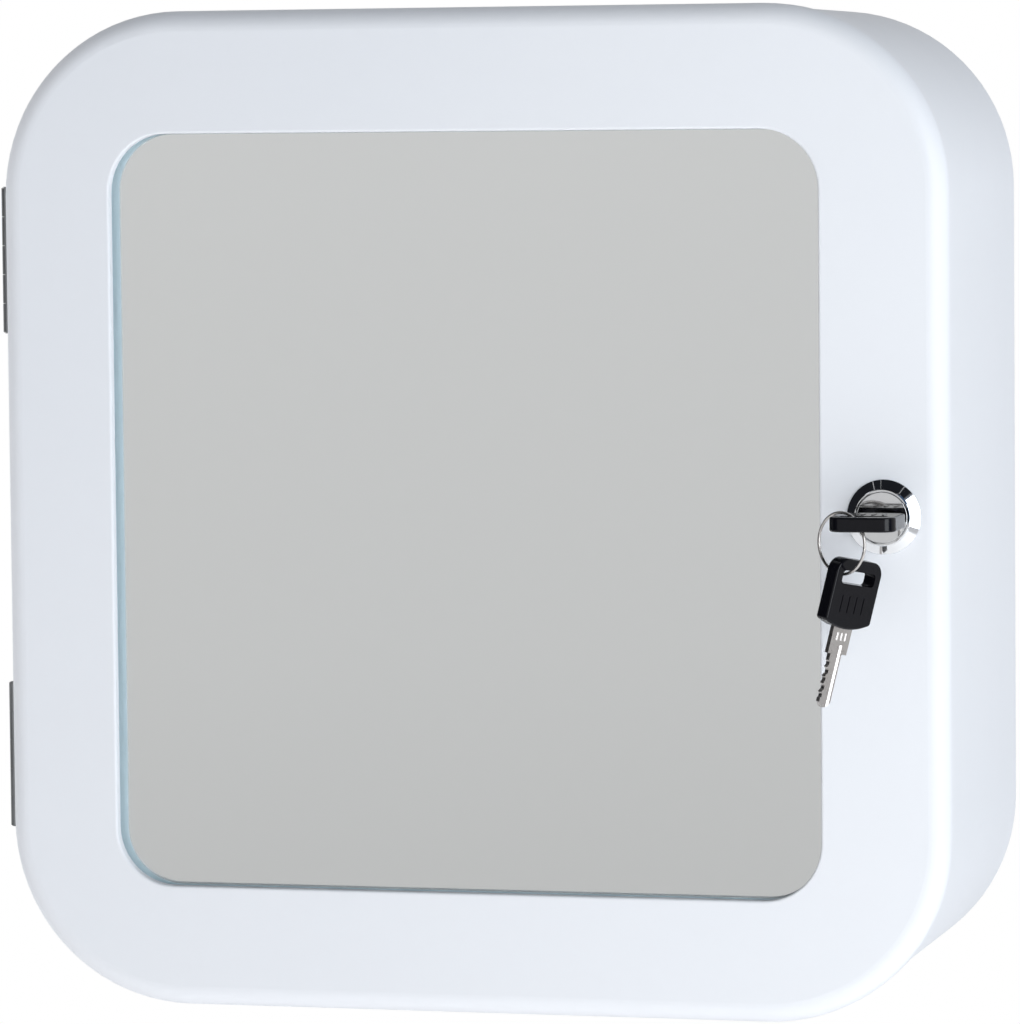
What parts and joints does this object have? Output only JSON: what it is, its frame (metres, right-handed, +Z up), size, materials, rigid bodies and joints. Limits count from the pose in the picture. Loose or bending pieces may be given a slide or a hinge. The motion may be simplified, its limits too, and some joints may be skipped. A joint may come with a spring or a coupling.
{
  "type": "lockable wall cabinet",
  "caption": "Shallow rounded-square steel wall cabinet with two shelves and a hinged mirror door closed by a keyed cam lock.",
  "frame": {"origin": "centre of the back face, on the wall plane", "axes": "+X to the right seen from the front, +Y into the wall, +Z up; the door faces -Y"},
  "size_m": [0.3339, 0.1807, 0.342],
  "materials": {
    "powder_coat": "satin white powder coat",
    "hinge_steel": "dull zinc-plated steel",
    "foam_tape": "matte foam tape",
    "glass": "polished float glass",
    "silvering": "mirror silvering",
    "hardboard": "plain brown hardboard",
    "bumper_rubber": "clear soft pad",
    "lock_chrome": "polished chrome",
    "zinc_plate": "bright zinc plate",
    "brass": "stamped brass",
    "nickel": "nickel plate",
    "bow_plastic": "black moulded plastic"
  },
  "bodies": {
    "case": {"case_wrap": "powder_coat", "back_panel": "powder_coat", "shelf_upper": "powder_coat", "shelf_lower": "powder_coat", "shelf_rail_upper_left": "powder_coat", "shelf_rail_upper_right": "powder_coat", "shelf_rail_lower_left": "powder_coat", "shelf_rail_lower_right": "powder_coat", "hinge_case_leaf_upper": "hinge_steel", "hinge_case_leaf_lower": "hinge_steel", "hinge_pin_upper": "hinge_steel", "hinge_pin_lower": "hinge_steel", "hinge_case_rivets": "hinge_steel"},
    "door": {"door_shell": "powder_coat", "mirror_gasket": "foam_tape", "mirror_glass": "glass", "mirror_silver": "silvering", "mirror_backing_board": "hardboard", "door_inner_pan": "powder_coat", "door_bumpers": "bumper_rubber", "hinge_door_leaf_upper": "hinge_steel", "hinge_door_leaf_lower": "hinge_steel", "hinge_door_rivets": "hinge_steel", "lock_bezel": "lock_chrome", "lock_housing": "lock_chrome", "lock_nut": "zinc_plate"},
    "lock_plug": {"plug_cap": "lock_chrome", "lock_plug": "zinc_plate", "tumbler_wafers": "brass", "wafer_springs": "hinge_steel", "lock_cam": "zinc_plate", "cam_washer": "hinge_steel", "cam_screw": "hinge_steel"},
    "key": {"key_blade": "nickel", "key_bow": "bow_plastic"},
    "key_ring": {"key_ring": "nickel"},
    "spare_key": {"spare_key_blade": "nickel", "spare_key_bow": "bow_plastic"}
  },
  "joints": [
    {"name": "door_hinge", "type": "hinge", "parent": "case", "child": "door", "pos_m": [-0.1671, -0.1293, 0], "axis": [0, 0, -1], "range_deg": [0, 175]},
    {"name": "plug_turn", "type": "hinge", "parent": "door", "child": "lock_plug", "pos_m": [0.1437, -0.142, 0.0003], "axis": [0, -1, 0], "range_deg": [0, 90]},
    {"name": "key_pull", "type": "slide", "parent": "lock_plug", "child": "key", "axis": [0, -1, 0], "range_m": [0, 0.03]},
    {"name": "ring_swing", "type": "hinge", "parent": "key", "child": "key_ring", "pos_m": [0.1415, -0.1753, 0.0006], "axis": [0, -1, 0], "range_deg": [-72, 0]},
    {"name": "spare_key_swing", "type": "hinge", "parent": "key_ring", "child": "spare_key", "pos_m": [0.13523, -0.17153, -0.01647], "axis": [0.8572, -0.515, 0], "range_deg": [-25, 12]}
  ],
  "couplings": [
    {"joint": "ring_swing", "follows": "plug_turn", "ratio": -0.8}
  ]
}
